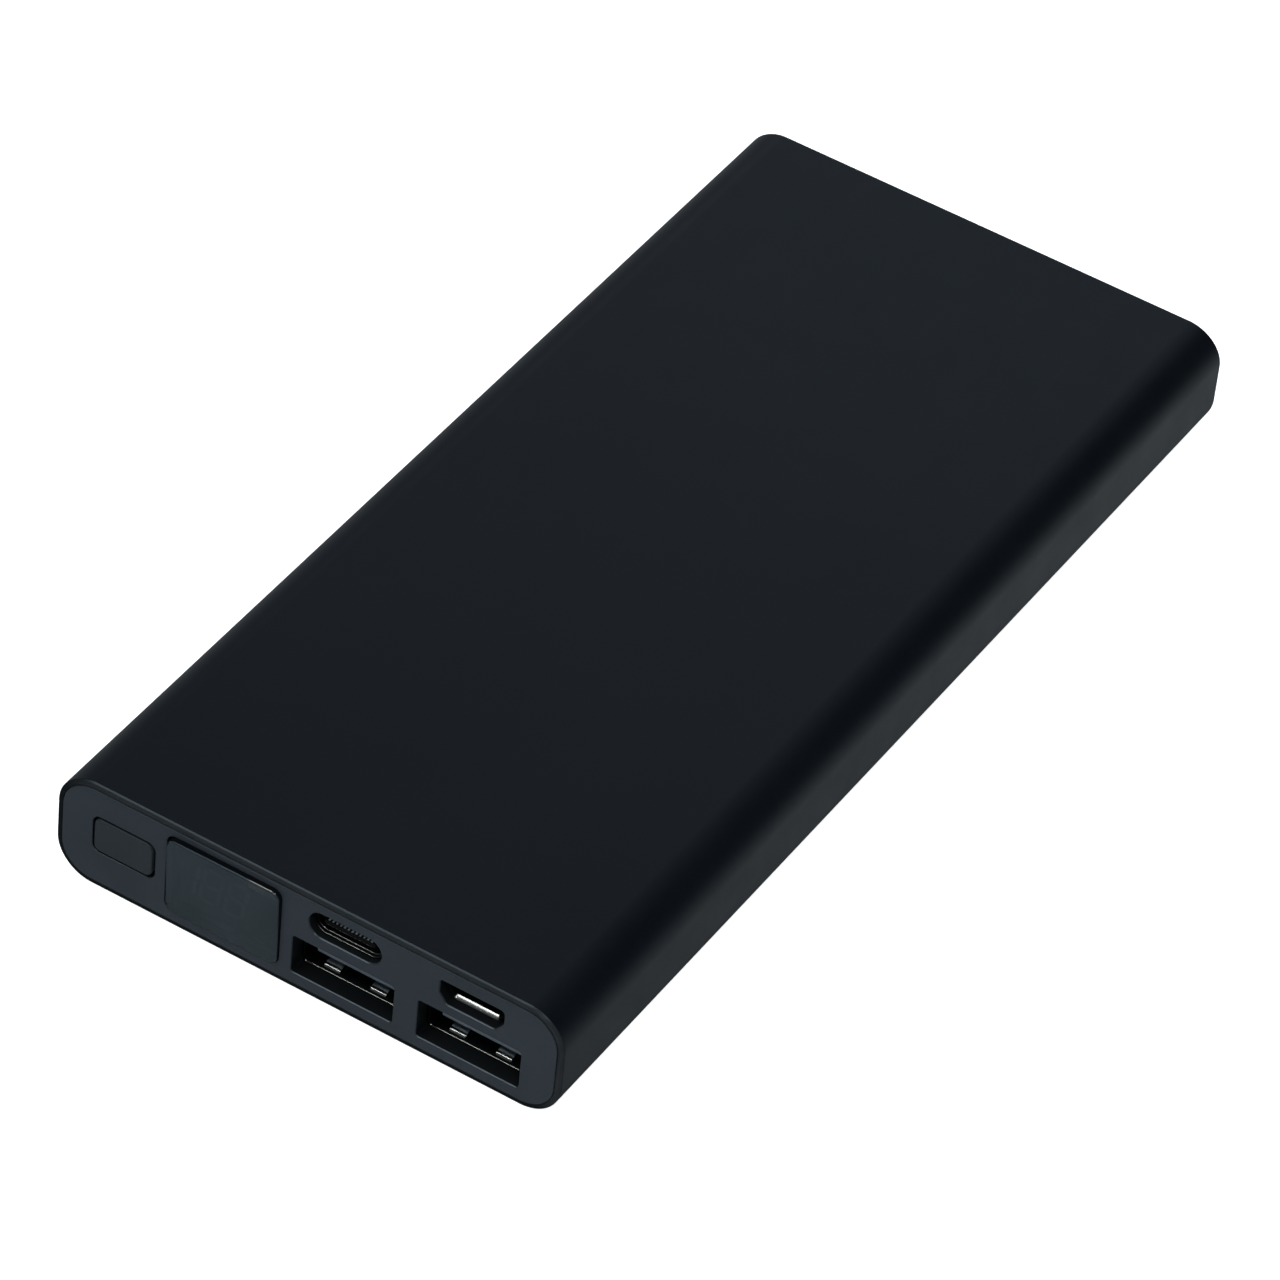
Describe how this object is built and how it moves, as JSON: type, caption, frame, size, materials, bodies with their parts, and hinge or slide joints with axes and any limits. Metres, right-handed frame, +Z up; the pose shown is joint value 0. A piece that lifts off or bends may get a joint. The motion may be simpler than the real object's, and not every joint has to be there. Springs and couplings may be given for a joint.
{
  "type": "power bank",
  "caption": "Slim pocket power bank in a flat aluminium sleeve, with USB-A, USB-C and micro-USB sockets, a push button and a number display at one end.",
  "frame": {"origin": "on the bottom face, in the middle of the whole object's bounding box", "axes": "+X to the right when looking at the socket end, +Y from the socket end to the rear end along the length, +Z up through the thickness"},
  "size_m": [0.066, 0.1448, 0.0149],
  "materials": {
    "sleeve_anodised": "satin black anodised, very fine bead-blasted grain",
    "panel_plastic": "fine matte moulded black",
    "tray_plastic": "moulded dark grey",
    "button_plastic": "fine matte moulded black",
    "plunger_plastic": "moulded off-white",
    "connector_plastic": "moulded black",
    "contact_spring": "thin spring steel",
    "smoked_lens": "polished smoked acrylic",
    "digit_diffuser": "translucent light grey segments",
    "gold_contact": "gold plated",
    "foam": "closed-cell foam",
    "circuit_board": "green solder mask",
    "connector_steel": "nickel-plated sheet",
    "ferrite": "pressed ferrite",
    "capacitor_can": "bright can",
    "capacitor_ceramic": "ceramic",
    "chip_epoxy": "moulded epoxy",
    "screw_steel": "zinc plated",
    "cell_pouch": "laminated foil pouch",
    "cell_tab": "nickel strip",
    "lead_red": "silicone jacket",
    "lead_black": "silicone jacket",
    "adhesive": "double-sided adhesive foam",
    "film": "insulating paper film"
  },
  "bodies": {
    "housing": {"aluminium_sleeve": "sleeve_anodised", "front_panel": "panel_plastic", "rear_cap": "panel_plastic", "battery_tray": "tray_plastic", "switch_housing": "connector_plastic", "switch_dome": "contact_spring", "display_lens": "smoked_lens", "display_module": "connector_plastic", "display_digits": "digit_diffuser", "display_pins": "gold_contact", "display_gasket": "foam", "main_board": "circuit_board", "usb_a_left_shell": "connector_steel", "usb_a_left_tongue": "connector_plastic", "usb_a_left_contacts": "gold_contact", "usb_a_right_shell": "connector_steel", "usb_a_right_tongue": "connector_plastic", "usb_a_right_contacts": "gold_contact", "usb_c_shell": "connector_steel", "usb_c_tongue": "connector_plastic", "usb_c_contacts": "gold_contact", "micro_usb_shell": "connector_steel", "micro_usb_tongue": "connector_plastic", "micro_usb_contacts": "gold_contact", "power_inductor": "ferrite", "bulk_capacitors": "capacitor_can", "ceramic_capacitors": "capacitor_ceramic", "controller_chip": "chip_epoxy", "charger_chip": "chip_epoxy", "power_mosfets": "chip_epoxy", "board_screws": "screw_steel", "lower_cell": "cell_pouch", "upper_cell": "cell_pouch", "lower_cell_tabs": "cell_tab", "upper_cell_tabs": "cell_tab", "protection_board": "circuit_board", "positive_lead": "lead_red", "negative_lead": "lead_black", "lower_adhesive_sheet": "adhesive", "middle_adhesive_sheet": "adhesive", "upper_foam_pad": "foam", "end_foam_pad": "foam", "insulation_film": "film"},
    "button": {"power_button": "button_plastic"},
    "plunger": {"switch_plunger": "plunger_plastic"}
  },
  "joints": [
    {"name": "button_press", "type": "slide", "parent": "housing", "child": "button", "axis": [0, 1, 0], "range_m": [0, 0.00035], "stiffness_N_per_m": 4000, "springref_m": -0.0001},
    {"name": "plunger_press", "type": "slide", "parent": "housing", "child": "plunger", "axis": [0, 1, 0], "range_m": [0, 0.00035]}
  ],
  "couplings": [
    {"joint": "plunger_press", "follows": "button_press", "ratio": 1}
  ]
}
